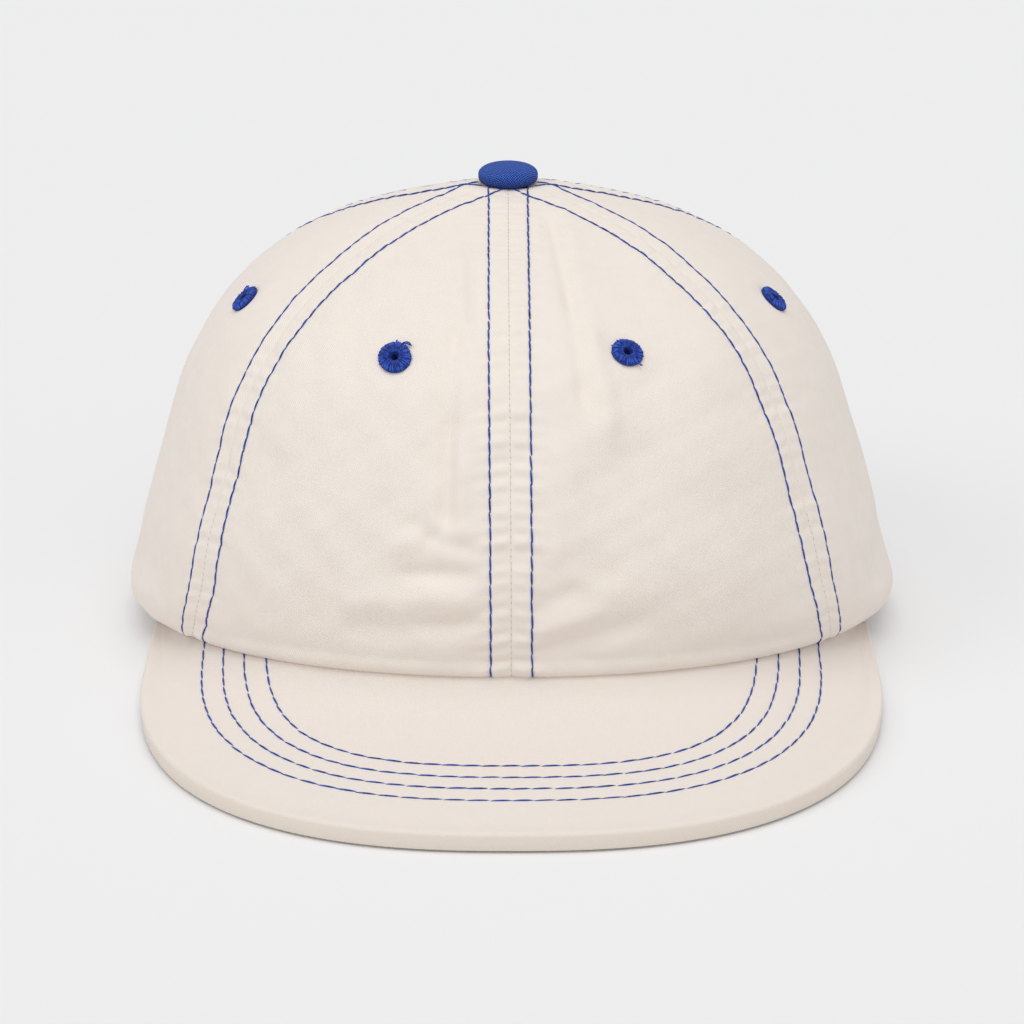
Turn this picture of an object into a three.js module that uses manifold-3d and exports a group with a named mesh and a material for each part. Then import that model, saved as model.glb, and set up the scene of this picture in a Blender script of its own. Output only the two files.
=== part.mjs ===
// Six-panel cotton cap, standing on a table as it rests by itself.
// Millimetres, +Z up. The visor points to -Y and +X is on the right as seen from the front.
// A bearing runs round the crown from the front (0) over the right side (90) to the back (180).
// A run climbs one meridian of the crown, from the hem (0) to the top (1).
import * as THREE from 'three';
import { mergeVertices } from 'three/addons/utils/BufferGeometryUtils.js';
import Module from 'manifold-3d';

const wasm = await Module();
wasm.setup();

// Crown
const CROWN_HEIGHT = 114.4; // table to the top of the cloth
const CROWN_LEAN = 8.2; // the top sits this far behind the middle of the hem
const CROWN_SIDE_LEAN = 0.85; // and this far to its left
const CORNER_FULLNESS = 0.017; // how much the hem's oval swells between front and side
const CLOTH = 1.6; // two layers and the seam allowance
const SEAM_GAP = 0.3; // between neighbouring panels
const SEAM_DIP = 0.5; // the seams lie this deep between the panels
const SEAM_DIP_WIDTH = 5;
const SEAM_DIP_FADE = 25; // inside this radius the seams flatten out towards the top
const TOP_RUN = 0.99; // the panels end here, under the button

// One row for each height of the crown; share counts from the hem to the top
const CROWN_SECTIONS = [
  { share: 0.0, halfWidth: 90.6, halfLength: 93.4 },
  { share: 0.012, halfWidth: 92.6, halfLength: 94.7 },
  { share: 0.045, halfWidth: 93.6, halfLength: 96.0 },
  { share: 0.11, halfWidth: 94.8, halfLength: 97.1 },
  { share: 0.25, halfWidth: 94.5, halfLength: 97.0 },
  { share: 0.42, halfWidth: 90.1, halfLength: 92.4 },
  { share: 0.6, halfWidth: 83.4, halfLength: 85.1 },
  { share: 0.75, halfWidth: 72.1, halfLength: 73.2 },
  { share: 0.87, halfWidth: 54.2, halfLength: 50.8 },
  { share: 0.95, halfWidth: 31.0, halfLength: 24.2 },
  { share: 1.0, halfWidth: 0, halfLength: 0 },
];

// At both sides the cloth swells out over the hem, which is folded in
const SIDE_BULGE = 6.2;
const SIDE_BULGE_SHARE = 0.06; // share of the height where it swells most
const SIDE_BULGE_POWER = 6; // how closely it keeps to the sides

// The seams spread towards the hem
const SEAM_FLARE = 10.7; // degrees, at the hem
const SEAM_FLARE_SHARE = 0.08; // it fades over this share of the height

// The hem lies on the table behind and rises in a plane towards the front
const HEM_RISE = 0.2; // height gained for each millimetre forward
const HEM_LIFT_START = -0.5; // forward place where it starts to rise
const HEM_BEND = 10; // softness of that start
const HEM_BOW = 0.7; // it bows up over that plane between the front and the sides

// Six panels between six seams, in degrees
const PANELS = [
  { name: 'panel_front_right', from: 0, to: 51.8 },
  { name: 'panel_side_right', from: 51.8, to: 117 },
  { name: 'panel_back_right', from: 117, to: 180 },
  { name: 'panel_back_left', from: 180, to: 243 },
  { name: 'panel_side_left', from: 243, to: 308.2 },
  { name: 'panel_front_left', from: 308.2, to: 360 },
];
const PANEL_COLUMNS = 11;
const PANEL_ROWS = 17;

// Soft folds, each along a line on the crown; a minus height is a hollow
const FOLDS = [
  { bearingA: 19, runA: 0.9, bearingB: 13, runB: 0.74, width: 7, height: 0.9 },
  { bearingA: 13, runA: 0.74, bearingB: 15, runB: 0.6, width: 8, height: 0.8 },
  { bearingA: 6, runA: 0.82, bearingB: 7, runB: 0.56, width: 7, height: -0.8 },
  { bearingA: -16, runA: 0.88, bearingB: -11, runB: 0.74, width: 7, height: 0.8 },
  { bearingA: -11, runA: 0.74, bearingB: -8, runB: 0.54, width: 8, height: -0.9 },
  { bearingA: -20, runA: 0.37, bearingB: -4, runB: 0.36, width: 6, height: -1.0 },
  { bearingA: -16, runA: 0.43, bearingB: -6, runB: 0.48, width: 6, height: 0.9 },
  { bearingA: 5, runA: 0.4, bearingB: 16, runB: 0.36, width: 6, height: -0.8 },
  { bearingA: 10, runA: 0.3, bearingB: 20, runB: 0.34, width: 6, height: 0.7 },
  { bearingA: 66, runA: 0.3, bearingB: 92, runB: 0.38, width: 9, height: -1.0 },
  { bearingA: -64, runA: 0.34, bearingB: -90, runB: 0.3, width: 9, height: -1.0 },
  { bearingA: 138, runA: 0.34, bearingB: 166, runB: 0.42, width: 9, height: -1.1 },
  { bearingA: 196, runA: 0.44, bearingB: 226, runB: 0.34, width: 9, height: -1.1 },
];

// Stitched air holes, one in each panel
const EYELETS = [
  { name: 'eyelet_front_right', panel: 'panel_front_right', bearing: 23, run: 0.7 },
  { name: 'eyelet_side_right', panel: 'panel_side_right', bearing: 74.3, run: 0.715 },
  { name: 'eyelet_back_right', panel: 'panel_back_right', bearing: 149, run: 0.7 },
  { name: 'eyelet_back_left', panel: 'panel_back_left', bearing: 211, run: 0.7 },
  { name: 'eyelet_side_left', panel: 'panel_side_left', bearing: 285.7, run: 0.715 },
  { name: 'eyelet_front_left', panel: 'panel_front_left', bearing: 337, run: 0.7 },
];
const EYELET_RADIUS = 4.2;
const EYELET_HOLE = 1.0;
const EYELET_BARREL = 1.5; // the ring where it passes through the cloth
const EYELET_RIM = 0.9; // how high it stands on the outer face
const EYELET_BACK_RIM = 0.5; // and on the inner face
const EYELET_SEAT = 0.6; // depth of its seat in the outer face
const EYELET_BACK_SPACE = 0.75; // the cloth curves away from the ring inside
const EYELET_SIDES = 14;
const CUTTER_REACH = 6; // the cutters stand past the cloth on both faces
const CLEARANCE = 0.3; // between an eyelet, the button or a cover and the cloth it sits in

// Visor: a board between two covers
const VISOR_HALF_WIDTH = 92.8;
const VISOR_FRONT = 157; // from the middle of the hem to the front edge
const VISOR_WIDEST = 55.3; // forward place of its greatest width
const VISOR_END = 18.5; // forward place of its two rear ends
const VISOR_END_TUCK = 0.2; // how far the ends draw in
const VISOR_SQUARENESS = 2.46; // power of the superellipse in front of the widest place
const VISOR_THICKNESS = 5;
const VISOR_END_THICKNESS = 3.4; // at its two ends, under the crown
const VISOR_THIN_FROM = 0.7; // share of the way round where it starts to thin
const VISOR_SAG = 1.45; // the slope is steep at the crown, then runs out flat
const VISOR_RECOVERY = 1.38; // and steepens again towards the flat outer strip
const VISOR_FLAT = 5.2; // the outer strip of this width lies flat on the table
const VISOR_END_BEARING = 78.6; // where the visor leaves the hem
const VISOR_NARROW = 14; // where the visor is less deep than this, its outer strip narrows too
const VISOR_UNDER = 1; // thickness of the under cover
const VISOR_UNDER_INSET = 1.9; // the under cover stops this far inside the edge
const VISOR_ROLL = 1.7; // the top cover rolls down over this width
const VISOR_WALL = 0.66; // share of its thickness that is an upright wall, below the roll
const VISOR_FOOT = 0.4; // gap between the wall and the table
const VISOR_FOOT_WIDTH = 0.5; // only the outermost cloth reaches so low
const VISOR_COLUMNS = 28;
const VISOR_SHARES = [0, 0.17, 0.36, 0.57, 0.78, 0.93]; // of the depth inside that strip
const VISOR_INSETS = [3.3, 1.7, 1, 0.35, 0]; // distances from the edge
const SEAM_TUCK = 1; // the visor reaches this far under the hem

// Sweatband and button
const BAND_HEIGHT = 30;
const BAND_THICKNESS = 1.2;
const BAND_INSET = 2; // from the hem to its outer face
const BAND_LEAN = 1.4; // its upper edge leans in
const BAND_SIDES = 48;
const BUTTON_RADIUS = 7.7;
const BUTTON_HEIGHT = 5;
const BUTTON_STEM = 1.2;
const BUTTON_BACK_RADIUS = 6; // the plate inside the crown
const BUTTON_BACK_EDGE = 1.1; // from the cloth to the plate's rim
const BUTTON_BACK_THICKNESS = 0.9;
const BUTTON_SIDES = 24;

// Colours
const COTTON = { color: 0xeae0d6, roughness: 0.9, metalness: 0 };
const BAND_COTTON = { color: 0xe3d9cd, roughness: 0.92, metalness: 0 };
const BLUE_CLOTH = { color: 0x33509f, roughness: 0.85, metalness: 0 };
const BLUE_THREAD = { color: 0x2f4a9c, roughness: 0.7, metalness: 0 };

const NORMAL_STEP = 0.002; // bearing and run between the samples of a normal

const radians = THREE.MathUtils.degToRad;

// The meridian runs on over the top, mirrored, so that the crown is level there
const topSections = CROWN_SECTIONS.length - 1;
const overTop = CROWN_SECTIONS[topSections - 1];
const mirrored = { share: overTop.share, halfWidth: -overTop.halfWidth, halfLength: -overTop.halfLength };
const meridian = new THREE.CatmullRomCurve3(
  [...CROWN_SECTIONS, mirrored].map((s) => new THREE.Vector3(s.halfWidth, s.halfLength, s.share)),
  false,
  'catmullrom',
  0.5,
);

function sectionAt(run) {
  const point = meridian.getPoint((run * topSections) / (topSections + 1));
  return { halfWidth: point.x, halfLength: point.y, share: point.z };
}

function ovalPoint(bearing, halfWidth, halfLength, fullness) {
  const swell = 1 + (fullness * (1 - Math.cos(4 * bearing))) / 2;
  return new THREE.Vector2(halfWidth * swell * Math.sin(bearing), halfLength * swell * Math.cos(bearing));
}

// Side and forward place of the hem, and its height over the table
function hemPoint(bearing) {
  const hem = CROWN_SECTIONS[0];
  const place = ovalPoint(bearing, hem.halfWidth, hem.halfLength, CORNER_FULLNESS);
  const forward = place.y - HEM_LIFT_START;
  const along = THREE.MathUtils.clamp(place.y / hem.halfLength, 0, 1);
  const bow = 4 * HEM_BOW * along * (1 - along);
  const height = (HEM_RISE * (forward + Math.hypot(forward, HEM_BEND))) / 2 + bow;
  return new THREE.Vector3(place.x, -place.y, height);
}

function seamFlare(bearing, share) {
  const fade = Math.exp(-share / SEAM_FLARE_SHARE);
  return (radians(SEAM_FLARE) * fade * Math.sin(2 * bearing) * (1 + Math.cos(bearing))) / 2;
}

// Smooth crown, without its seams and folds
function crownPoint(bearing, run) {
  const { halfWidth, halfLength, share } = sectionAt(run);
  const turn = bearing + seamFlare(bearing, share);
  const up = share / SIDE_BULGE_SHARE;
  const bulge = SIDE_BULGE * up * Math.exp(1 - up) * Math.sin(turn) ** SIDE_BULGE_POWER;
  const place = ovalPoint(turn, halfWidth + bulge, halfLength, CORNER_FULLNESS * (1 - share));
  const hemHeight = hemPoint(turn).z;
  const height = hemHeight + (CROWN_HEIGHT - hemHeight) * share;
  const side = place.x - CROWN_SIDE_LEAN * share ** 2;
  return new THREE.Vector3(side, -(place.y - CROWN_LEAN * share), height);
}

function crownNormal(bearing, run) {
  const across = crownPoint(bearing + NORMAL_STEP, run).sub(crownPoint(bearing - NORMAL_STEP, run));
  const below = Math.max(run - NORMAL_STEP, 0);
  const up = crownPoint(bearing, run + NORMAL_STEP).sub(crownPoint(bearing, below));
  return across.cross(up).normalize();
}

const foldLines = FOLDS.map((fold) => ({
  line: new THREE.Line3(
    crownPoint(radians(fold.bearingA), fold.runA),
    crownPoint(radians(fold.bearingB), fold.runB),
  ),
  width: fold.width,
  height: fold.height,
}));

function foldHeight(point) {
  const nearest = new THREE.Vector3();
  return foldLines.reduce((sum, fold) => {
    fold.line.closestPointToPoint(point, true, nearest);
    return sum + fold.height * Math.exp(-((nearest.distanceTo(point) / fold.width) ** 2));
  }, 0);
}

// Moves each vertex of a closed shape to where place() puts it
function reshape(geometry, place) {
  const positions = geometry.attributes.position;
  const vertex = new THREE.Vector3();
  for (let i = 0; i < positions.count; i += 1) {
    vertex.fromBufferAttribute(positions, i);
    const moved = place(vertex);
    positions.setXYZ(i, moved.x, moved.y, moved.z);
  }
  geometry.deleteAttribute('normal');
  geometry.deleteAttribute('uv');
  return mergeVertices(geometry);
}

// A box with its corner at the origin and sides of length 1
function unitSlab(columns, rows) {
  return new THREE.BoxGeometry(1, 1, 1, columns, rows, 1).translate(0.5, 0.5, 0.5);
}

function toSolid(geometry) {
  const vertProperties = new Float32Array(geometry.attributes.position.array);
  const triVerts = new Uint32Array(geometry.index.array);
  return new wasm.Manifold(new wasm.Mesh({ numProp: 3, vertProperties, triVerts }));
}

function toGeometry(solid) {
  const mesh = solid.getMesh();
  const geometry = new THREE.BufferGeometry();
  geometry.setAttribute('position', new THREE.BufferAttribute(new Float32Array(mesh.vertProperties), 3));
  geometry.setIndex(new THREE.BufferAttribute(new Uint32Array(mesh.triVerts), 1));
  return geometry;
}

function eyeletFrame(eyelet) {
  const bearing = radians(eyelet.bearing);
  const turn = new THREE.Quaternion();
  turn.setFromUnitVectors(new THREE.Vector3(0, 1, 0), crownNormal(bearing, eyelet.run));
  return { centre: crownPoint(bearing, eyelet.run), turn };
}

// A round cutter that stands on the cloth at an eyelet, between two heights over it
function eyeletCutter(eyelet, radius, low, high) {
  const { centre, turn } = eyeletFrame(eyelet);
  const cutter = new THREE.CylinderGeometry(radius, radius, high - low, EYELET_SIDES);
  cutter.translate(0, (high + low) / 2, 0);
  cutter.applyQuaternion(turn).translate(centre.x, centre.y, centre.z);
  return toSolid(reshape(cutter, (vertex) => vertex));
}

function makePanel(panel) {
  const from = radians(panel.from);
  const to = radians(panel.to);
  const shell = reshape(unitSlab(PANEL_COLUMNS, PANEL_ROWS), (slab) => {
    const run = slab.y * TOP_RUN;
    const section = sectionAt(run);
    const radius = Math.max(Math.hypot(section.halfWidth, section.halfLength) / Math.SQRT2, 1);
    const half = SEAM_GAP / 2 / radius;
    const bearing = THREE.MathUtils.lerp(from + half, to - half, slab.x);
    const point = crownPoint(bearing, run);
    const fromSeam = Math.min(bearing - from, to - bearing) * radius;
    const fade = Math.min(radius / SEAM_DIP_FADE, 1);
    const dip = SEAM_DIP * fade * Math.exp(-((fromSeam / SEAM_DIP_WIDTH) ** 2));
    const rise = foldHeight(point) - dip;
    return point.addScaledVector(crownNormal(bearing, run), rise - (1 - slab.z) * CLOTH);
  });
  const eyelet = EYELETS.find((item) => item.panel === panel.name);
  const seat = eyeletCutter(eyelet, EYELET_RADIUS + CLEARANCE, -EYELET_SEAT, CUTTER_REACH);
  const hole = eyeletCutter(eyelet, EYELET_BARREL + CLEARANCE, -CUTTER_REACH, CUTTER_REACH);
  return toGeometry(toSolid(shell).subtract(seat).subtract(hole));
}

// A ring of thread round the hole, on both faces of the cloth
function makeEyelet() {
  const seat = CLEARANCE - EYELET_SEAT;
  const inside = -CLOTH - EYELET_BACK_SPACE;
  const back = inside - EYELET_BACK_RIM;
  const outline = [
    [EYELET_HOLE, back],
    [EYELET_HOLE, 0.1 * EYELET_RIM],
    [0.33 * EYELET_RADIUS, 0.7 * EYELET_RIM],
    [0.62 * EYELET_RADIUS, EYELET_RIM],
    [0.9 * EYELET_RADIUS, 0.7 * EYELET_RIM],
    [EYELET_RADIUS, 0.1 * EYELET_RIM],
    [0.96 * EYELET_RADIUS, seat],
    [EYELET_BARREL, seat],
    [EYELET_BARREL, inside],
    [0.83 * EYELET_RADIUS, inside],
    [0.81 * EYELET_RADIUS, back],
    [EYELET_HOLE, back],
  ];
  const points = outline.map(([radius, height]) => new THREE.Vector2(radius, height)).reverse();
  return reshape(new THREE.LatheGeometry(points, EYELET_SIDES), (vertex) => vertex);
}

// The visor's outer edge on the right, from the front to the rear end: side and forward place
function visorEdgeCurve() {
  const points = [];
  const bends = 24;
  for (let i = 0; i <= bends; i += 1) {
    const turn = ((i / bends) * Math.PI) / 2;
    const side = VISOR_HALF_WIDTH * Math.sin(turn) ** (2 / VISOR_SQUARENESS);
    const ahead = (VISOR_FRONT - VISOR_WIDEST) * Math.cos(turn) ** (2 / VISOR_SQUARENESS);
    points.push(new THREE.Vector2(side, VISOR_WIDEST + ahead));
  }
  const steps = 6;
  for (let i = 1; i <= steps; i += 1) {
    const back = i / steps;
    const side = VISOR_HALF_WIDTH - VISOR_END_TUCK * back ** 3;
    points.push(new THREE.Vector2(side, THREE.MathUtils.lerp(VISOR_WIDEST, VISOR_END, back)));
  }
  return new THREE.SplineCurve(points);
}

const visorEdge = visorEdgeCurve();

function visorThickness(round) {
  const thinning = THREE.MathUtils.smoothstep(Math.abs(round), VISOR_THIN_FROM, 1);
  return THREE.MathUtils.lerp(VISOR_THICKNESS, VISOR_END_THICKNESS, thinning);
}

// Share of the rise to the hem that is left at a share of the way out from it
function visorSlope(out) {
  return (1 - out) * (1 - VISOR_SAG * out + VISOR_RECOVERY * out ** 2);
}

// A place on the visor's upper face: round from -1 (left end) to 1 (right end),
// row from 0 (under the hem) to the outer edge
function visorPlace(round, row, edgeInset) {
  const hem = hemPoint(radians(VISOR_END_BEARING * round));
  const inward = new THREE.Vector2(hem.x, hem.y).normalize().multiplyScalar(SEAM_TUCK);
  const inner = new THREE.Vector2(hem.x - inward.x, hem.y - inward.y);
  const edge = visorEdge.getPointAt(Math.abs(round));
  const outer = new THREE.Vector2(Math.sign(round) * edge.x, -edge.y);
  const depth = inner.distanceTo(outer);
  const narrow = Math.min(1, depth / VISOR_NARROW);
  const level = depth - VISOR_FLAT * narrow;
  const inset = VISOR_INSETS[row - VISOR_SHARES.length] ?? VISOR_FLAT;
  const onEdge = row >= VISOR_SHARES.length;
  const reach = onEdge ? depth - (edgeInset + inset) * narrow : VISOR_SHARES[row] * level;
  const place = inner.clone().lerp(outer, reach / depth);
  const out = THREE.MathUtils.clamp((reach - SEAM_TUCK) / (level - SEAM_TUCK), 0, 1);
  const thickness = visorThickness(round);
  const rise = Math.max(hem.z - CLEARANCE - thickness, 0) * visorSlope(out);
  return { place, rise, thickness, inset };
}

// The faces of a cover stand at two heights over the visor's lower side
function makeVisorCover(edgeInset, heights) {
  const rows = VISOR_SHARES.length + VISOR_INSETS.length - 1;
  return reshape(unitSlab(VISOR_COLUMNS, rows), (slab) => {
    const row = Math.round((1 - slab.y) * rows);
    const { place, rise, thickness, inset } = visorPlace(2 * slab.x - 1, row, edgeInset);
    const [low, high] = heights(inset, thickness);
    return new THREE.Vector3(place.x, place.y, rise + (slab.z < 0.5 ? low : high));
  });
}

// Covers the board, rolls down over its edge and ends in front of the under cover
function makeVisorTop() {
  return makeVisorCover(0, (inset, thickness) => {
    const low = inset < VISOR_FOOT_WIDTH ? VISOR_FOOT : VISOR_UNDER + CLEARANCE;
    const rolled = Math.max(1 - inset / VISOR_ROLL, 0);
    const wall = VISOR_WALL * thickness;
    return [low, THREE.MathUtils.lerp(wall, thickness, Math.sqrt(1 - rolled ** 2))];
  });
}

function makeVisorUnder() {
  return makeVisorCover(VISOR_UNDER_INSET, () => [0, VISOR_UNDER]);
}

// A band inside the hem; the lathe gives the ring and reshape lays it along the hem
function makeSweatband() {
  const lifts = [0, 0.5, 1];
  const inner = lifts.map((lift) => new THREE.Vector2(1, lift));
  const outer = lifts.map((lift) => new THREE.Vector2(2, lift)).reverse();
  const ring = new THREE.LatheGeometry([...inner, ...outer, inner[0]].reverse(), BAND_SIDES);
  return reshape(ring, (vertex) => {
    const hem = hemPoint(Math.atan2(vertex.x, vertex.z));
    const depth = 2 - Math.hypot(vertex.x, vertex.z);
    const inset = BAND_INSET + depth * BAND_THICKNESS + BAND_LEAN * vertex.y ** 2;
    const outward = new THREE.Vector2(hem.x, hem.y).normalize();
    const height = hem.z + CLEARANCE + BAND_HEIGHT * vertex.y;
    return new THREE.Vector3(hem.x - outward.x * inset, hem.y - outward.y * inset, height);
  });
}

// Cloth-covered dome, its stem through the top of the crown and its plate inside
function makeButton() {
  const plate = -CLOTH - BUTTON_BACK_EDGE;
  const outline = [
    [0, plate - BUTTON_BACK_THICKNESS],
    [BUTTON_BACK_RADIUS, plate - 0.8 * BUTTON_BACK_THICKNESS],
    [BUTTON_BACK_RADIUS, plate],
    [BUTTON_STEM, plate + 2 * CLEARANCE],
    [BUTTON_STEM, CLEARANCE],
    [0.91 * BUTTON_RADIUS, 0.01 * BUTTON_HEIGHT],
    [0.99 * BUTTON_RADIUS, 0.13 * BUTTON_HEIGHT],
    [BUTTON_RADIUS, 0.33 * BUTTON_HEIGHT],
    [0.94 * BUTTON_RADIUS, 0.56 * BUTTON_HEIGHT],
    [0.78 * BUTTON_RADIUS, 0.75 * BUTTON_HEIGHT],
    [0.55 * BUTTON_RADIUS, 0.9 * BUTTON_HEIGHT],
    [0.27 * BUTTON_RADIUS, 0.98 * BUTTON_HEIGHT],
    [0, BUTTON_HEIGHT],
  ];
  const points = outline.map(([radius, height]) => new THREE.Vector2(radius, height));
  const lathe = new THREE.LatheGeometry(points, BUTTON_SIDES).rotateX(Math.PI / 2);
  return reshape(lathe, (vertex) => vertex);
}

function addMesh(group, name, geometry, finish) {
  const mesh = new THREE.Mesh(geometry, new THREE.MeshStandardMaterial(finish));
  mesh.name = name;
  group.add(mesh);
  return mesh;
}

// The assembly, with its origin under the middle of its outline, on the table
function makeCap() {
  const cap = new THREE.Group();
  PANELS.forEach((panel) => addMesh(cap, panel.name, makePanel(panel), COTTON));
  EYELETS.forEach((eyelet) => {
    const { centre, turn } = eyeletFrame(eyelet);
    const ring = addMesh(cap, eyelet.name, makeEyelet(), BLUE_THREAD);
    ring.position.copy(centre);
    ring.quaternion.copy(turn);
  });
  addMesh(cap, 'visor_top', makeVisorTop(), COTTON);
  addMesh(cap, 'visor_under', makeVisorUnder(), COTTON);
  addMesh(cap, 'sweatband', makeSweatband(), BAND_COTTON);
  const button = addMesh(cap, 'top_button', makeButton(), BLUE_CLOTH);
  button.position.set(-CROWN_SIDE_LEAN, CROWN_LEAN, CROWN_HEIGHT);

  const bounds = new THREE.Box3().setFromObject(cap, true);
  const middle = bounds.getCenter(new THREE.Vector3());
  cap.position.set(-middle.x, -middle.y, -bounds.min.z);
  const model = new THREE.Group();
  model.add(cap);
  model.updateMatrixWorld(true);
  return model;
}

export default makeCap();
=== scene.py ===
# %% [markdown]
# # A six-panel cotton cap
#
# The cap stands on a table by itself, its visor towards the viewer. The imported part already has
# its walls, in the right place and size. This lesson gives each piece its real surface: cloth
# panels with puckered seams, rows of blue stitches, thread-bound air holes, a covered button.
#
# Helpers work in millimetres, as a cap maker does. Lengths become metres when a mesh is made.

import bmesh
import bpy
import numpy as np
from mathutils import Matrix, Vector
from mathutils.bvhtree import BVHTree


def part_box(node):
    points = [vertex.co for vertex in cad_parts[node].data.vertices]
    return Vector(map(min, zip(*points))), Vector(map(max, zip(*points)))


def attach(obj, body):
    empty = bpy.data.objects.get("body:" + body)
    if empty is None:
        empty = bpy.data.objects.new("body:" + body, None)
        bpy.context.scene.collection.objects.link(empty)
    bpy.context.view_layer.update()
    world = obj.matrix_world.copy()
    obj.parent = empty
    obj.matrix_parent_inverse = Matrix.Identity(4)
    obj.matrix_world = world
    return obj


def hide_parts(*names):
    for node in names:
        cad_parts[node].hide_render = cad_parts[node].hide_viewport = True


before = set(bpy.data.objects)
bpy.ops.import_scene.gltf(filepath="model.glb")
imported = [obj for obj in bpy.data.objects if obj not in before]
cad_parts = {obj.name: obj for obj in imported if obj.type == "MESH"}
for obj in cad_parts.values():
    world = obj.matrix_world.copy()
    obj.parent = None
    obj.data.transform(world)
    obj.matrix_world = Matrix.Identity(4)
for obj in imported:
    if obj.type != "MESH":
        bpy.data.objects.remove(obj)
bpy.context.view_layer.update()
chance = np.random.default_rng(7)
print("nodes:", sorted(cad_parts))

# %% [markdown]
# ## Small helpers
#
# A colour is easiest to read off a screen, as three numbers from 0 to 255. A shader wants the
# amount of light instead, so `screen_colour` turns one into the other. `smooth_step` is the soft
# switch used wherever one surface runs into another, and `path_lengths` measures along a line.

# %% Units, colours and lengths
MM = 0.001


def screen_colour(red, green, blue):
    """Linear RGBA of a colour given as it shows on a screen."""
    shown = np.array([red, green, blue]) / 255
    linear = np.where(shown <= 0.04045, shown / 12.92, ((shown + 0.055) / 1.055) ** 2.4)
    return (*(float(value) for value in linear), 1.0)


def smooth_step(value, start, end):
    """0 before start, 1 after end, and an S-curve between them."""
    share = np.clip((value - start) / (end - start), 0, 1)
    return share**2 * (3 - 2 * share)


def unit(vectors):
    """The same directions with length 1."""
    return vectors / np.maximum(np.linalg.norm(vectors, axis=-1, keepdims=True), 1e-9)


def path_lengths(points):
    """Length along a path up to each of its points."""
    return np.concatenate([[0], np.cumsum(np.linalg.norm(np.diff(points, axis=0), axis=1))])


print("royal blue as light:", np.round(screen_colour(60, 98, 196), 3))

# %% [markdown]
# ## The crown's shape
#
# A crown is a dome that is nearly upright at the sides and turns in quickly at the top. It could
# be sculpted, but then the seams, stitches and air holes would all have to be fitted to it by
# eye. Here the dome is a function instead. A bearing goes round from the front, a run climbs from
# the hem to the top, and `crown_point` tells where that is. Everything on the crown uses it.

# %% Measures of the crown
CROWN_HEIGHT = 114.4
CROWN_LEAN, CROWN_SIDE_LEAN = 8.2, 0.85  # how far the top sits back, and to the left
CORNER_FULLNESS = 0.017  # makes the oval hem a little squarer
CLOTH = 1.6  # thickness
TOP_RUN = 0.99  # where the panels end, under the button
NUDGE = 0.002  # step of bearing or run, to measure a slope

# Share of the height, half width, half length
CROWN_SECTIONS = np.array([
    (0.0, 90.6, 93.4),
    (0.012, 92.6, 94.7),
    (0.045, 93.6, 96.0),
    (0.11, 94.8, 97.1),
    (0.25, 94.5, 97.0),
    (0.42, 90.1, 92.4),
    (0.6, 83.4, 85.1),
    (0.75, 72.1, 73.2),
    (0.87, 54.2, 50.8),
    (0.95, 31.0, 24.2),
    (1.0, 0.0, 0.0),
])
HEM_RISE, HEM_LIFT_START, HEM_BEND, HEM_BOW = 0.2, -0.5, 10.0, 0.7
SIDE_BULGE, SIDE_BULGE_SHARE, SIDE_BULGE_POWER = 6.2, 0.06, 6  # the sides swell over the hem
SEAM_FLARE, SEAM_FLARE_SHARE = 8.2, 0.11  # the seams spread by these degrees at the hem

button_low, button_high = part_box("top_button")
HEM_CENTRE_X = (button_low.x + button_high.x) / 2 / MM + CROWN_SIDE_LEAN
HEM_CENTRE_Y = (button_low.y + button_high.y) / 2 / MM - CROWN_LEAN
print("middle of the hem, mm:", round(HEM_CENTRE_X, 2), round(HEM_CENTRE_Y, 2))


# %% The crown as a function
def in_frame(side, forward, height):
    """From places about the middle of the hem to the part's own frame."""
    return np.stack([HEM_CENTRE_X + side, HEM_CENTRE_Y - forward, height], axis=-1)


def meridian(run):
    """Share of the height, half width and half length at each run, on one smooth curve."""
    rows = CROWN_SECTIONS
    over_top = rows[-2] * (1, -1, -1)
    knots = np.vstack([2 * rows[0] - rows[1], rows, over_top])
    place = np.clip(run, 0, 1) * (len(rows) - 1)
    first = np.minimum(place.astype(int), len(rows) - 2)
    t = (place - first)[..., None]
    a, b, c, d = (knots[first + step] for step in range(4))
    bend = (2 * a - 5 * b + 4 * c - d) * t**2 + (3 * b - a - 3 * c + d) * t**3
    return 0.5 * (2 * b + (c - a) * t + bend)


def oval_swell(bearing, fullness):
    """How much further out the oval is between its axes."""
    return 1 + fullness * (1 - np.cos(4 * bearing)) / 2


def hem_height(forward):
    """The hem lies on the table behind and rises in a plane towards the front."""
    ahead = forward - HEM_LIFT_START
    along = np.clip(forward / CROWN_SECTIONS[0, 2], 0, 1)
    return HEM_RISE * (ahead + np.hypot(ahead, HEM_BEND)) / 2 + 4 * HEM_BOW * along * (1 - along)


def hem_point(bearing):
    """Side, forward place and height of the hem."""
    swell = oval_swell(bearing, CORNER_FULLNESS)
    forward = CROWN_SECTIONS[0, 2] * swell * np.cos(bearing)
    side = CROWN_SECTIONS[0, 1] * swell * np.sin(bearing)
    return side, forward, hem_height(forward)


def crown_point(bearing, run):
    """Smooth crown in millimetres, in the part's own frame."""
    section = meridian(run)
    share, half_width, half_length = section[..., 0], section[..., 1], section[..., 2]
    flare = np.radians(SEAM_FLARE) * np.exp(-share / SEAM_FLARE_SHARE)
    turn = bearing + flare * np.sin(2 * bearing) * (1 + np.cos(bearing)) / 2
    up = share / SIDE_BULGE_SHARE
    bulge = SIDE_BULGE * up * np.exp(1 - up) * np.sin(turn) ** SIDE_BULGE_POWER
    swell = oval_swell(turn, CORNER_FULLNESS * (1 - share))
    forward = half_length * swell * np.cos(turn) - CROWN_LEAN * share
    low = hem_point(turn)[2]
    height = low + (CROWN_HEIGHT - low) * share
    side = (half_width + bulge) * swell * np.sin(turn) - CROWN_SIDE_LEAN * share**2
    return in_frame(side, forward, height)


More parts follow.
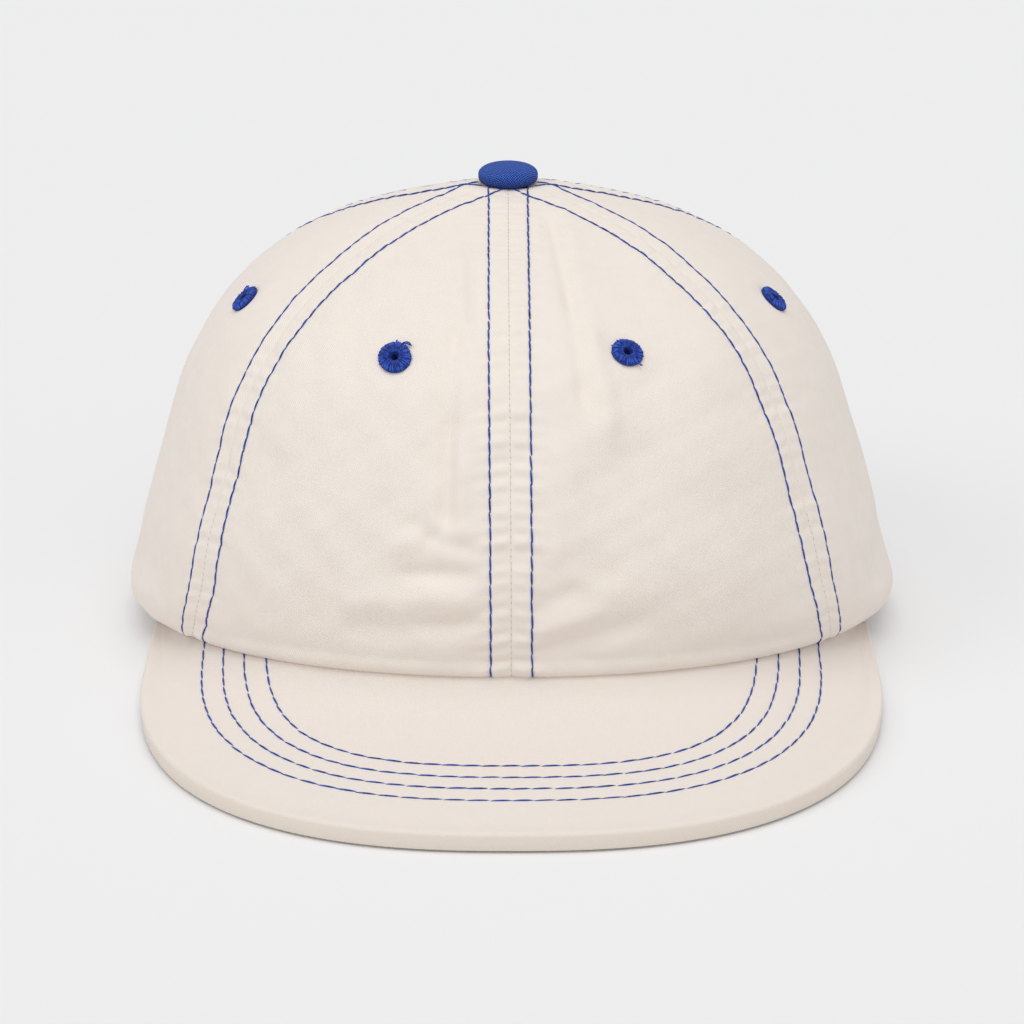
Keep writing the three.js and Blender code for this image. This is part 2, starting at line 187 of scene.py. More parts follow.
def crown_normal(bearing, run):
    """Which way the smooth crown faces."""
    run = np.clip(run, NUDGE, 1 - NUDGE)
    across = crown_point(bearing + NUDGE, run) - crown_point(bearing - NUDGE, run)
    up = crown_point(bearing, run + NUDGE) - crown_point(bearing, run - NUDGE)
    return unit(np.cross(across, up))


def girth(bearing, run):
    """Millimetres of cloth for each radian of bearing."""
    reach = crown_point(bearing + NUDGE, run) - crown_point(bearing - NUDGE, run)
    return np.linalg.norm(reach, axis=-1) / (2 * NUDGE)


print("crown front at the hem:", crown_point(np.array(0.0), np.array(0.0)).round(1))

# %% [markdown]
# ## Seams, puckers and folds
#
# Six seams run from the hem to the button. Under each lies the folded edge of both panels, so a
# strip about 10 mm wide is slightly raised, and a row of stitches on each side presses it down.
# Every stitch draws the cloth together a little: that is where the small cross puckers come from.
# Between the seams the cloth has soft folds and is never quite even.
#
# Displacement textures could do this, but only on a very dense mesh. Since the shape is a
# function, the relief is one as well, in millimetres along the surface normal.

# %% Seams and air holes
SEAM_BEARINGS = (0, 51.8, 117, 180, 243, 308.2)
SEAMS = np.radians(SEAM_BEARINGS)
STITCH_SIDE = 5.0  # from a seam to the stitches beside it
SEAM_PITCH = 3.5  # length of one stitch on the crown
RUNS = np.linspace(0, 1, 601)

# Bearing and run of each air hole, going round
AIR_HOLES = {
    "front_right": (23.6, 0.702),
    "side_right": (74.3, 0.715),
    "back_right": (149.0, 0.7),
    "back_left": (211.0, 0.7),
    "side_left": (285.7, 0.715),
    "front_left": (337.4, 0.696),
}


def lengths_up(bearing):
    """Length of cloth from the hem to each of RUNS, along one bearing."""
    return path_lengths(crown_point(np.full(RUNS.shape, bearing), RUNS))


SEAM_LENGTHS = np.array([lengths_up(seam) for seam in SEAMS])
HOLE_CENTRES = {
    side: crown_point(np.radians(bearing), np.array(run))
    for side, (bearing, run) in AIR_HOLES.items()
}
print("seam lengths from hem to top, mm:", SEAM_LENGTHS[:, -1].round(1))

# %% Folds
# From bearing and run to bearing and run, width and height of each fold
FOLDS = np.array([
    (24.5, 0.92, 15.3, 0.79, 2.2, -1.4),
    (15.3, 0.79, 13.1, 0.64, 2.1, -1.9),
    (32, 0.92, 16.5, 0.737, 4.5, 0.6),
    (17.8, 0.737, 16.6, 0.588, 2.8, 1.4),
    (-10.8, 0.838, -6.8, 0.733, 2.2, -1.2),
    (-15.8, 0.856, -10.7, 0.753, 3.5, 0.6),
    (-11.6, 0.739, -10.3, 0.59, 2.1, -1.8),
    (-10.3, 0.59, -9.7, 0.479, 2.0, -1.8),
    (-8.3, 0.672, -7.5, 0.5, 2.3, 1.2),
    (-45, 0.804, -29.7, 0.658, 3.2, -0.9),
    (-42.4, 0.759, -30.5, 0.602, 5, 0.5),
    (-15.5, 0.484, -11, 0.462, 2.6, -0.7),
    (-13.1, 0.466, -5.6, 0.452, 2.4, -1.2),
    (-18, 0.452, -6.1, 0.472, 3.5, 1.1),
    (-24.2, 0.358, -14.5, 0.369, 3.5, 1.0),
    (-14.5, 0.369, -5.0, 0.378, 2.8, 1.0),
    (-22.5, 0.303, -12.6, 0.319, 3.2, -1.1),
    (-12.6, 0.319, -4.4, 0.336, 2.3, -1.6),
    (-16.3, 0.411, -5.2, 0.416, 2.2, -1.4),
    (3.1, 0.311, 13.4, 0.356, 2.6, 1.1),
    (3.7, 0.252, 18, 0.327, 2.8, -1.2),
    (11.8, 0.372, 21.8, 0.384, 4, 0.5),
    (3.5, 0.365, 9.9, 0.39, 2.4, -0.7),
    (6.6, 0.436, 16, 0.41, 4, -0.5),
    (31.4, 0.538, 33.9, 0.366, 5, 0.5),
    (21.7, 0.584, 22.3, 0.427, 6, -0.5),
    (-47.2, 0.71, -39.2, 0.555, 5, 0.5),
    (-39.2, 0.555, -35.5, 0.38, 6, -0.5),
    (38, 0.845, 24.7, 0.635, 5, -0.5),
    (-20.4, 0.666, -18, 0.511, 6, 0.4),
    (8.2, 0.591, 8.1, 0.436, 4.5, 0.4),
    (66, 0.3, 92, 0.38, 7, -0.9),
    (-64, 0.34, -90, 0.3, 7, -0.9),
    (138, 0.34, 166, 0.42, 7, -1.0),
    (196, 0.44, 226, 0.34, 7, -1.0),
])


def fold_height(points):
    """Each fold is a soft ridge or valley along a line, and fades in and out at its ends."""
    total = np.zeros(points.shape[:-1])
    for from_b, from_r, to_b, to_r, width, height in FOLDS:
        ends = crown_point(np.radians([from_b, to_b]), np.array([from_r, to_r]))
        line = ends[1] - ends[0]
        raw = (points - ends[0]) @ line / (line @ line)
        along = np.clip(raw, -0.15, 1.15)
        gap = np.linalg.norm(points - ends[0] - along[..., None] * line, axis=-1)
        taper = smooth_step(raw, -0.15, 0.15) * (1 - smooth_step(raw, 0.85, 1.15))
        total += height * taper * np.exp(-((gap / width) ** 2))
    return total


print("folds:", len(FOLDS))

# %% Relief beside a seam
STRIP_RISE, GROOVE_DEPTH, JOIN_DEPTH, VALLEY_DEPTH = 0.28, 0.24, 0.1, 0.5


def ripple(place, waves, seed):
    """A sum of a few waves of chosen lengths and random phases, between about -1 and 1."""
    phases = np.random.default_rng(seed).uniform(0, 2 * np.pi, len(waves))
    total = sum(np.sin(2 * np.pi * place / wave + phase) for wave, phase in zip(waves, phases))
    return total / len(waves)


def nearest_seam(bearing, run):
    """Which seam is nearest, how far it is, and how far up it."""
    turns = (bearing[..., None] - SEAMS + np.pi) % (2 * np.pi) - np.pi
    which = np.abs(turns).argmin(axis=-1)
    turn = np.abs(turns).min(axis=-1)
    distance = girth(bearing, run) * np.sin(np.minimum(turn, np.pi / 2))
    up = np.choose(which, [np.interp(run, RUNS, lengths) for lengths in SEAM_LENGTHS])
    return which, distance, up


def seam_relief(bearing, run):
    """The raised strip, its grooves and puckers, and the valley that the seam lies in."""
    which, distance, up = nearest_seam(bearing, run)
    strip = STRIP_RISE * (1 - smooth_step(distance, 4.3, 5.8))
    groove = GROOVE_DEPTH * np.exp(-(((distance - STITCH_SIDE) / 0.6) ** 2))
    join = JOIN_DEPTH * np.exp(-((distance / 0.4) ** 2))
    pull = np.clip(distance / 1.5, 0, 1) * np.exp(-((np.maximum(distance - 4.5, 0) / 3.0) ** 2))
    held = 1 - 0.7 * np.exp(-(((distance - STITCH_SIDE) / 1.0) ** 2))  # the stitches hold it flat
    bowed = up + 0.02 * distance**2
    puckers = 0
    for index in range(len(SEAMS)):
        drawn = 0.2 + 0.15 * ripple(up, (15, 27, 41), 60 + index)
        waves = ripple(bowed, (4.6, 6.3, 8.1, 11.7), 40 + index)
        here = drawn * np.cos(2 * np.pi * bowed / SEAM_PITCH) + 0.52 * waves
        tight = 1 if index == 0 else 0.65
        puckers = puckers + (which == index) * held * tight * here
    dip = VALLEY_DEPTH * np.exp(-((distance / 5) ** 2))
    fade = smooth_step(girth(bearing, run), 5, 20)
    valley = smooth_step(girth(bearing, run), 15, 45) * dip
    return fade * (strip - groove - join + pull * puckers) - valley


front = np.zeros(3), np.linspace(0.2, 0.6, 3)
print("relief along the front seam, mm:", seam_relief(*front).round(2))

# %% The cloth with all its relief
HEM_FILL, HEM_SETTLE = 1.9, 0.55  # how far the hem stands out, and its share upwards
SEAT_RISE, SEAT_RADIUS, SEAT_WIDTH = 0.65, 8.5, 2.6  # the cloth heaped round the button


def unevenness(points):
    """Broad soft waves through space, so that they cross the seams without a step."""
    rng = np.random.default_rng(31)
    total = 0
    for wave in (7, 9, 11, 14, 18, 23, 30, 42):
        direction = unit(rng.normal(size=3))
        total = total + wave * np.sin(points @ direction * 2 * np.pi / wave + rng.uniform(0, 6.28))
    return total / 50


def looseness(bearing, run):
    """How much the cloth waves: most at the front, little at the sides and near the top."""
    front = np.clip(np.cos(bearing), 0, 1)
    low, high = smooth_step(run, 0.02, 0.2), smooth_step(run, 0.6, 0.9)
    return low * (0.3 + 0.7 * front) * (1 - 0.6 * high)


def hem_fill(bearing, run):
    """At the front the turned hem stands straight on the visor."""
    front = np.clip(np.cos(bearing), 0, 1) ** 2
    return HEM_FILL * front * (1 - smooth_step(meridian(run)[..., 0], 0, 0.05))


def button_seat(bearing, run):
    """The cloth is heaped up a little round the button that presses on it."""
    return SEAT_RISE * np.exp(-(((girth(bearing, run) - SEAT_RADIUS) / SEAT_WIDTH) ** 2))


def near_air_holes(points, width):
    """1 at an air hole, falling off softly over a width."""
    total = np.zeros(points.shape[:-1])
    for centre in HOLE_CENTRES.values():
        reach = np.linalg.norm(points - centre, axis=-1)
        total += np.exp(-((reach / width) ** 4))
    return total


def crown_surface(bearing, run):
    """The outside of the cloth with all its relief, and the smooth crown's normal there."""
    bearing, run = np.broadcast_arrays(np.asarray(bearing, float), np.asarray(run, float))
    points = crown_point(bearing, run)
    normal = crown_normal(bearing, run)
    loose = 1 - near_air_holes(points, 7.5)  # the thread holds the cloth flat round a hole
    soft = fold_height(points) + 0.4 * unevenness(points) * looseness(bearing, run)
    rise = soft * loose + seam_relief(bearing, run) - 0.3 * near_air_holes(points, 5.5)
    fill = hem_fill(bearing, run)
    rise = rise + fill + button_seat(bearing, run)
    surface = points + normal * rise[..., None]
    surface[..., 2] += HEM_SETTLE * fill
    return surface, normal


print("outside of the hem in front, mm:", crown_surface(0, 0)[0].round(1))

# %% [markdown]
# ## Cotton twill
#
# The cloth is undyed cotton: a warm off-white, matt, with fine diagonal ribs about half a
# millimetre apart. An image could carry that, but a procedural pattern stays sharp at any
# distance. A wave texture turned on the cloth's own coordinates makes the ribs, a finer one
# across them breaks them into threads, and noise gives the colour its slight cloudiness. The
# grooves between the ribs and the hollows of the noise's relief are painted darker: painted shade.
# Tiny darker flecks are bits of cotton seed that stay in undyed cloth. The visor's front edge is
# painted a little warmer, and darker between its ribs: painted shade, warmed as by bounced light.

# %% Materials and their nodes
def set_inputs(node, values):
    """Sets a node's sockets by their names."""
    for key, value in values.items():
        node.inputs[key].default_value = value


def new_material(name, roughness, sheen=0.0):
    """A material with its nodes, ready for colour and bump."""
    material = bpy.data.materials.new(name)
    material.use_nodes = True
    values = {"Roughness": roughness, "Specular IOR Level": 0.25}
    values |= {"Sheen Weight": sheen, "Sheen Roughness": 0.5}
    set_inputs(material.node_tree.nodes["Principled BSDF"], values)
    return material


def add_node(material, kind, values=None, links=None, **settings):
    """One node with its settings, socket values and incoming links."""
    node = material.node_tree.nodes.new(kind)
    for key, value in settings.items():
        setattr(node, key, value)
    set_inputs(node, values or {})
    for key, socket in (links or {}).items():
        material.node_tree.links.new(socket, node.inputs[key])
    return node


# %% Patterns
WAVE_LENGTH = 0.314159  # a wave texture of scale 1 repeats after this length


def turned(material, coordinates, angle, stretch=(1, 1, 1)):
    """Coordinates turned about Z by an angle in degrees, then stretched."""
    values = {"Rotation": (0, 0, np.radians(angle)), "Scale": stretch}
    return add_node(material, "ShaderNodeMapping", values, {"Vector": coordinates}).outputs[0]


def ribs(material, coordinates, period, distortion=0.6):
    """Straight ribs across X that repeat after a period in the coordinates' own unit."""
    values = {"Scale": WAVE_LENGTH / period, "Distortion": distortion}
    values |= {"Detail": 2.0, "Detail Scale": 1.5}
    node = add_node(material, "ShaderNodeTexWave", values, {"Vector": coordinates})
    node.bands_direction = "X"
    return node.outputs["Fac"]


def noise(material, coordinates, scale, detail):
    """Cloudy noise from 0 to 1."""
    values = {"Scale": scale, "Detail": detail}
    return add_node(material, "ShaderNodeTexNoise", values, {"Vector": coordinates}).outputs["Fac"]


def cloth_map(material):
    """The flat cloth's coordinates, in millimetres."""
    return add_node(material, "ShaderNodeUVMap", uv_map="Cloth").outputs["UV"]


def place_map(material):
    """The place in the part's frame, in metres."""
    return add_node(material, "ShaderNodeTexCoord").outputs["Object"]


def axis_of(material, coordinates, axis):
    return add_node(material, "ShaderNodeSeparateXYZ", links={0: coordinates}).outputs[axis]


def product(material, first, second):
    links = {0: first, 1: second}
    return add_node(material, "ShaderNodeMath", links=links, operation="MULTIPLY").outputs[0]


# %% Colour and relief
def colour_mix(material, share, first, second):
    """Between two colours; each is four numbers or the socket of another colour."""
    node = add_node(material, "ShaderNodeMix", links={0: share}, data_type="RGBA")
    for socket, colour in ((node.inputs[6], first), (node.inputs[7], second)):
        if isinstance(colour, tuple):
            socket.default_value = colour
        else:
            material.node_tree.links.new(colour, socket)
    return node.outputs[2]


def between(material, value, low, high):
    """A share from 0 to 1 as value goes from low to high."""
    values = {"From Min": low, "From Max": high}
    node = add_node(material, "ShaderNodeMapRange", values, {"Value": value})
    node.interpolation_type = "SMOOTHSTEP"
    return node.outputs["Result"]


def blend(material, first, second, value, low, high):
    """The first colour where value is low, the second where it is high."""
    return colour_mix(material, between(material, value, low, high), first, second)


def darker(colour, share):
    """A share of a colour's light."""
    return (*(share * value for value in colour[:3]), 1.0)


def bump(material, height, millimetres, before=None):
    """Relief of a given depth, on top of an earlier bump."""
    values = {"Distance": millimetres * MM, "Strength": 1.0}
    links = {"Height": height}
    if before is not None:
        links["Normal"] = before
    return add_node(material, "ShaderNodeBump", values, links).outputs["Normal"]


def finish_material(material, colour, normal):
    """Links the colour and the relief to the shader."""
    shader = material.node_tree.nodes["Principled BSDF"]
    material.node_tree.links.new(colour, shader.inputs["Base Color"])
    material.node_tree.links.new(normal, shader.inputs["Normal"])
    return material


# %% The cotton
SEED_FLECK = screen_colour(196, 178, 156)


def make_cotton(name, light, shade, rib_angle=-47, edge=None):
    """Twill on the piece's own coordinates, which are millimetres of cloth."""
    light, shade = screen_colour(*light), screen_colour(*shade)
    cotton = new_material(name, roughness=0.92, sheen=0.12)
    cloth = cloth_map(cotton)
    twill = ribs(cotton, turned(cotton, cloth, rib_angle), 0.5)
    threads = ribs(cotton, turned(cotton, cloth, rib_angle + 70), 0.34)
    mottle = noise(cotton, cloth, 0.2, 4.0)
    slubs = noise(cotton, turned(cotton, cloth, 0, (1.4, 0.25, 1)), 1.1, 3.0)
    flecks = add_node(cotton, "ShaderNodeTexVoronoi", {"Scale": 0.05}, {"Vector": cloth})
    # Painted shade: the hollows of the mottle's relief take the shade colour, on top of the cloth's
    # random cloudiness.
    colour = blend(cotton, shade, light, mottle, 0.3, 0.7)
    colour = blend(cotton, colour, shade, slubs, 0.62, 0.95)
    colour = blend(cotton, colour, SEED_FLECK, flecks.outputs["Distance"], 0.014, 0.008)
    # Painted shade in the grooves between the twill's ribs.
    rib_groove_shade = darker(shade, 0.95)  # between the ribs
    # The visor's front edge gets a warmer colour and darker rib grooves: painted shade, warmed as
    # by bounced light.
    if edge is not None:
        edge = screen_colour(*edge)
        place = place_map(cotton)
        low = between(cotton, axis_of(cotton, place, "Z"), 5.3 * MM, 4.2 * MM)
        ahead = between(cotton, axis_of(cotton, place, "Y"), -45 * MM, -80 * MM)
        edge_bounce_mask = product(cotton, low, ahead)
        colour = colour_mix(cotton, edge_bounce_mask, colour, edge)
        rib_groove_shade = colour_mix(cotton, edge_bounce_mask, rib_groove_shade, darker(edge, 0.9))
    colour = blend(cotton, rib_groove_shade, colour, twill, 0.05, 0.75)
    normal = bump(cotton, twill, 0.028)
    normal = bump(cotton, threads, 0.01, normal)
    normal = bump(cotton, mottle, 0.26, normal)
    return finish_material(cotton, colour, normal)


painted_edge_bounce = (244, 233, 221)  # painted warm bounce light in the shade of the visor's front edge
crown_cotton = make_cotton("crown_cotton", (248, 239, 231), (245, 236, 227))
# The visor's cotton is a darker copy of the crown's: painted shade on the visor, which faces up to
# the light.
visor_cotton = make_cotton("visor_cotton", (239, 230, 224), (238, 229, 221), 47, painted_edge_bounce)
print("materials:", [material.name for material in bpy.data.materials])

# %% [markdown]
# ## A grid that becomes cloth
#
# A cloth piece is easiest to make flat and then bend. `bmesh.ops.create_grid` gives a flat grid;
# `cloth_piece` moves each of its points to where a `place` function puts that column and row, and
# keeps the flat cloth's millimetres as a UV map, so the weave follows the piece. Where the two
# long sides meet, as in a tube, merging the doubles closes it.

# %% Helper for cloth pieces
def add_object(name, data):
    """A new object in the scene."""
    thing = bpy.data.objects.new(name, data)
    bpy.context.scene.collection.objects.link(thing)
    return thing


def make_mesh(name, maker, material):
    """Turns a bmesh into an object with its material."""
    mesh = bpy.data.meshes.new(name)
    maker.to_mesh(mesh)
    maker.free()
    mesh.materials.append(material)
    mesh.shade_smooth()
    return add_object(name, mesh)


def put_in_scene(name, maker, material):
    """Turns a bmesh into an object that belongs to the part's one body."""
    piece = make_mesh(name, maker, material)
    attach(piece, "root")
    return piece


def cloth_piece(name, columns, rows, place, material, close=False, drop_near=None):
    """A grid bent by place(column, row), which gives points and flat cloth in millimetres."""
    maker = bmesh.new()
    layer = maker.loops.layers.uv.new("Cloth")
    bmesh.ops.create_grid(maker, x_segments=columns, y_segments=rows, size=0.5)
    flat = np.array([vert.co for vert in maker.verts])[:, :2] + 0.5
    points, cloth = place(*np.rint(flat * (columns, rows)).astype(int).T)
    for vert, point in zip(maker.verts, (points * MM).tolist()):
        vert.co = point
    maker.verts.index_update()
    for face in maker.faces:
        for loop in face.loops:
            loop[layer].uv = cloth[loop.vert.index]
    if drop_near is not None:
        centre, reach = Vector(drop_near[0] * MM), drop_near[1] * MM
        middles = [(face, face.calc_center_median()) for face in maker.faces]
        lost = [face for face, middle in middles if (middle - centre).length < reach]
        bmesh.ops.delete(maker, geom=lost, context="FACES")
    if close:
        bmesh.ops.remove_doubles(maker, verts=maker.verts, dist=0.02 * MM)
        bmesh.ops.holes_fill(maker, edges=maker.edges, sides=0)
    return put_in_scene(name, maker, material)


# %% [markdown]
# ## The six panels
#
# Each panel goes from seam to seam and from the hem to just under the button. Its columns stand
# close together beside the seams, where the relief is fine, and wide apart in the middle. Towards
# the top the panel narrows, and the columns close up with it. A few faces are left out where the
# air hole goes through; the ring of thread covers that edge. A Solidify modifier then gives the
# cloth its thickness inwards.

# %% Sew the panels
SEAM_GAP = 0.02
PANEL_HOLE = 2.4  # radius of the hole that the thread covers
PANELS = dict(zip(AIR_HOLES, zip(SEAM_BEARINGS, (*SEAM_BEARINGS[1:], 360))))
NEAR_SEAM = np.array(
    [0, 0.1, 0.25, 0.45, 0.8, 1.4, 2.1, 2.8, 3.5, 4, 4.4, 4.7, 5, 5.3, 5.7, 6.2, 7, 8.2, 10]
)
MIDDLE_COLUMNS = 60
PANEL_COLUMNS = 2 * len(NEAR_SEAM) + MIDDLE_COLUMNS - 1
PANEL_ROWS = 250


def panel_place(start, end):
    """Place function of the panel between two bearings in radians."""
    middle = (start + end) / 2
    lengths = lengths_up(middle)
    top = np.interp(TOP_RUN, RUNS, lengths)

    def place(column, row):
        up = row / PANEL_ROWS * top
        run = np.interp(up, lengths, RUNS)
        around = girth(np.full(run.shape, middle), run)
        width = around * (end - start) - SEAM_GAP
        close_up = np.minimum(1, width / (2.6 * NEAR_SEAM[-1]))
        left = NEAR_SEAM[-1] * close_up
        inner = (column - len(NEAR_SEAM) + 1) / (MIDDLE_COLUMNS + 1)
        across = left + (width - 2 * left) * inner
        before = column < len(NEAR_SEAM)
        across[before] = NEAR_SEAM[column[before]] * close_up[before]
        back = PANEL_COLUMNS - column
        after = back < len(NEAR_SEAM)
        across[after] = width[after] - NEAR_SEAM[back[after]] * close_up[after]
        bearing = start + (across + SEAM_GAP / 2) / around
        points, _ = crown_surface(bearing, run)
        return points, np.column_stack([across - width / 2, up])

    return place


def make_panel(side):
    """One panel with its thickness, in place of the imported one."""
    hole = HOLE_CENTRES[side], PANEL_HOLE
    place = panel_place(*np.radians(PANELS[side]))
    name = "crown_" + side
    panel = cloth_piece(name, PANEL_COLUMNS, PANEL_ROWS, place, crown_cotton, drop_near=hole)
    wall = panel.modifiers.new("cloth thickness", "SOLIDIFY")
    wall.thickness = CLOTH * MM
    wall.offset = -1
    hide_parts("panel_" + side)
    return panel


panels = [make_panel(side) for side in PANELS]
print("faces in one panel:", len(panels[0].data.polygons))

# %% [markdown]
# ## The visor
#
# A visor is a curved board between two covers. The upper cover rolls down over the front edge
# and is sewn to the under cover just above the table. Both are closed grids: the columns go round
# from one end to the other, the rows go once round the cover's own cross-section, and the last
# row meets the first. The four rows of stitches press shallow grooves into the top.

# %% Measures of the visor
VISOR_HALF_WIDTH, VISOR_FRONT, VISOR_WIDEST = 92.8, 158.1, 55.3
VISOR_END, VISOR_END_TUCK, VISOR_SQUARENESS = 18.5, 0.2, 2.46
VISOR_THICKNESS, VISOR_END_THICKNESS, VISOR_THIN_FROM = 5.3, 3.4, 0.7
VISOR_SAG, VISOR_RECOVERY = 1.45, 1.38  # the slope is steep at the crown, then flat, then steep
VISOR_FLAT, VISOR_NARROW, SEAM_TUCK = 5.2, 14.0, 1.0
VISOR_SEAM_LIFT = 1.0  # the cover bends up where it is sewn to the crown
VISOR_END_BEARING = 78.6
VISOR_UNDER, VISOR_UNDER_INSET, CLEARANCE = 1.0, 1.9, 0.3
VISOR_ROLL, VISOR_WALL, VISOR_FOOT = 1.0, 0.8, 0.62
VISOR_ROWS = (15.4, 20.75, 26.1, 31.45)  # stitch rows, from the visor's edge
VISOR_PITCHES = (5.3, 4.95, 4.95, 4.7)  # length of one stitch in each row
ROW_DEPTH, ROW_WIDTH = 0.13, 0.6  # the groove under each row


def visor_outline():
    """Side and forward place of the outer edge on the right, from the front to the end."""
    turn = np.linspace(0, np.pi / 2, 400)
    power = 2 / VISOR_SQUARENESS
    ahead = VISOR_WIDEST + (VISOR_FRONT - VISOR_WIDEST) * np.cos(turn) ** power
    front = np.column_stack([VISOR_HALF_WIDTH * np.sin(turn) ** power, ahead])
    back = np.linspace(0, 1, 60)[1:]
    side = VISOR_HALF_WIDTH - VISOR_END_TUCK * back**3
    ahead = VISOR_WIDEST + (VISOR_END - VISOR_WIDEST) * back
    return np.vstack([front, np.column_stack([side, ahead])])


OUTLINE = visor_outline()
OUTLINE_LENGTHS = path_lengths(OUTLINE)
print("the visor's edge, mm:", round(2 * OUTLINE_LENGTHS[-1], 1))


# %% Shape of the visor
def visor_line(turn):
    """Inner and outer end of the visor's cross-section at a turn from -1 to 1."""
    side, forward, height = hem_point(np.radians(VISOR_END_BEARING) * turn)
    inner = np.stack([side, forward], -1)
    inner = inner - SEAM_TUCK * unit(inner)
    along = np.abs(turn) * OUTLINE_LENGTHS[-1]
    outer_side = np.sign(turn) * np.interp(along, OUTLINE_LENGTHS, OUTLINE[:, 0])
    outer = np.stack([outer_side, np.interp(along, OUTLINE_LENGTHS, OUTLINE[:, 1])], -1)
    return inner, outer, height


def visor_point(turn, reach_share, inset):
    """A place on the visor: plan, height gained towards the crown, and thickness."""
    inner, outer, hem_level = visor_line(turn)
    depth = np.linalg.norm(outer - inner, axis=-1)
    narrow = np.minimum(1, depth / VISOR_NARROW)
    level = depth - VISOR_FLAT * narrow
    reach = np.where(np.isnan(inset), reach_share * level, depth - inset * narrow)
    plan = inner + (outer - inner) * (reach / depth)[..., None]
    out = np.clip((reach - SEAM_TUCK) / (level - SEAM_TUCK), 0, 1)
    slope = (1 - out) * (1 - VISOR_SAG * out + VISOR_RECOVERY * out**2)
    thinning = smooth_step(np.abs(turn), VISOR_THIN_FROM, 1)
    thickness = VISOR_THICKNESS + (VISOR_END_THICKNESS - VISOR_THICKNESS) * thinning
    rise = np.maximum(hem_level - CLEARANCE - thickness, 0) * slope
    rise = rise + VISOR_SEAM_LIFT * np.cos(turn * np.pi / 2) * (1 - out) ** 8
    return plan, rise, thickness


def distance_to_outline(plan):
    """How far inside the visor's edge each place is."""
    mirrored = np.column_stack([np.abs(plan[:, 0]), plan[:, 1]])
    best = np.full(len(plan), np.inf)
    for chunk in np.array_split(OUTLINE, 24):
        gap = np.linalg.norm(mirrored[:, None] - chunk[None], axis=-1).min(axis=1)
        best = np.minimum(best, gap)
    return best


def row_grooves(plan):
    """Depth of the grooves that the stitch rows press into the top."""
    edge = distance_to_outline(plan)
    return sum(ROW_DEPTH * np.exp(-(((edge - row) / ROW_WIDTH) ** 2)) for row in VISOR_ROWS)


# %% Cross-sections of the two covers
TOP_ROWS = 96
NO_INSET = float("nan")


def top_section():
    """Rows round the top cover: share of the depth, inset from the edge, side of the cloth."""
    under = [(share, NO_INSET, "low") for share in np.linspace(0, 1, 12)[:-1]]
    under += [(0, inset, "low") for inset in (4.0, 2.2, 1.1)]
    foot = [(0, inset, "foot") for inset in (1.1, 0.8, 0.6)] + [(0, 0.45, "wall")]
    insets = (0, 0.02, 0.06, 0.14, 0.26, 0.41, 0.59, 0.79, 1.0, 1.8, 3.3)
    roll = [(0, inset, "high") for inset in insets]
    top = [(share, NO_INSET, "high") for share in np.linspace(1, 0, TOP_ROWS)]
    return under + foot + roll + top + [under[0]]


def under_section():
    """The same for the flat cover below it."""
    shares = [(share, NO_INSET) for share in np.linspace(0, 1, 12)[:-1]]
    edge = [(0, inset + VISOR_UNDER_INSET) for inset in (3.3, 1.5, 0.5, 0.1)]
    low = [(*place, "low") for place in shares + edge]
    high = [(*place, "high") for place in (shares + edge)[::-1]]
    return low + high + [low[0]]


print("rows round the covers:", len(top_section()) - 1, len(under_section()) - 1)

# %% The two covers
VISOR_COLUMNS = 300
FOOT_LOWEST = 0.85  # how far inside the edge the cover comes lowest


def cover_place(rolled):
    """Place function of a cover, rolled down over the edge or flat, and its number of rows."""
    section = top_section() if rolled else under_section()
    shares, insets, sides = (np.array(values) for values in zip(*section))

    def place(column, row):
        turn = column / VISOR_COLUMNS * 2 - 1
        plan, rise, thickness = visor_point(turn, shares[row], insets[row])
        side = sides[row]
        upper = side == "high"
        height = np.where(upper, VISOR_UNDER, 0.0)
        if rolled:
            wall = VISOR_WALL * thickness
            left = np.clip(1 - np.nan_to_num(insets[row], nan=VISOR_ROLL) / VISOR_ROLL, 0, 1)
            rounded = wall + (thickness - wall) * np.sqrt(1 - left**2)
            height = np.where(upper, rounded - row_grooves(plan), VISOR_UNDER + CLEARANCE)
            foot = VISOR_FOOT + 0.5 * (FOOT_LOWEST - insets[row]) ** 2
            height = np.where(side == "foot", foot, height)
            height = np.where(side == "wall", VISOR_FOOT + 0.3, height)
        points = in_frame(plan[:, 0], plan[:, 1], rise + height)
        cloth = plan + unit(plan) * np.where(upper, thickness - height, thickness)[:, None]
        return points, cloth

    return place, len(section) - 1


def make_cover(name, rolled, node):
    """One cover of the visor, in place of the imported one."""
    place, rows = cover_place(rolled)
    cover = cloth_piece(name, VISOR_COLUMNS, rows, place, visor_cotton, close=True)
    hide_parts(node)
    return cover


visor_cover = make_cover("visor_cover", True, "visor_top")
make_cover("visor_under_cover", False, "visor_under")
print("faces in the visor's cover:", len(visor_cover.data.polygons))

# %% [markdown]
# ## Blue thread
#
# The stitches are thick royal blue thread, two strands twisted together. One stitch is a grain a
# few millimetres long whose ends dive into the cloth. A curve with an array modifier could repeat
# it, but then each stitch would look the same. Here one small sphere is copied along a path, and
# every copy is stretched, bent to the surface and shifted a little by itself.

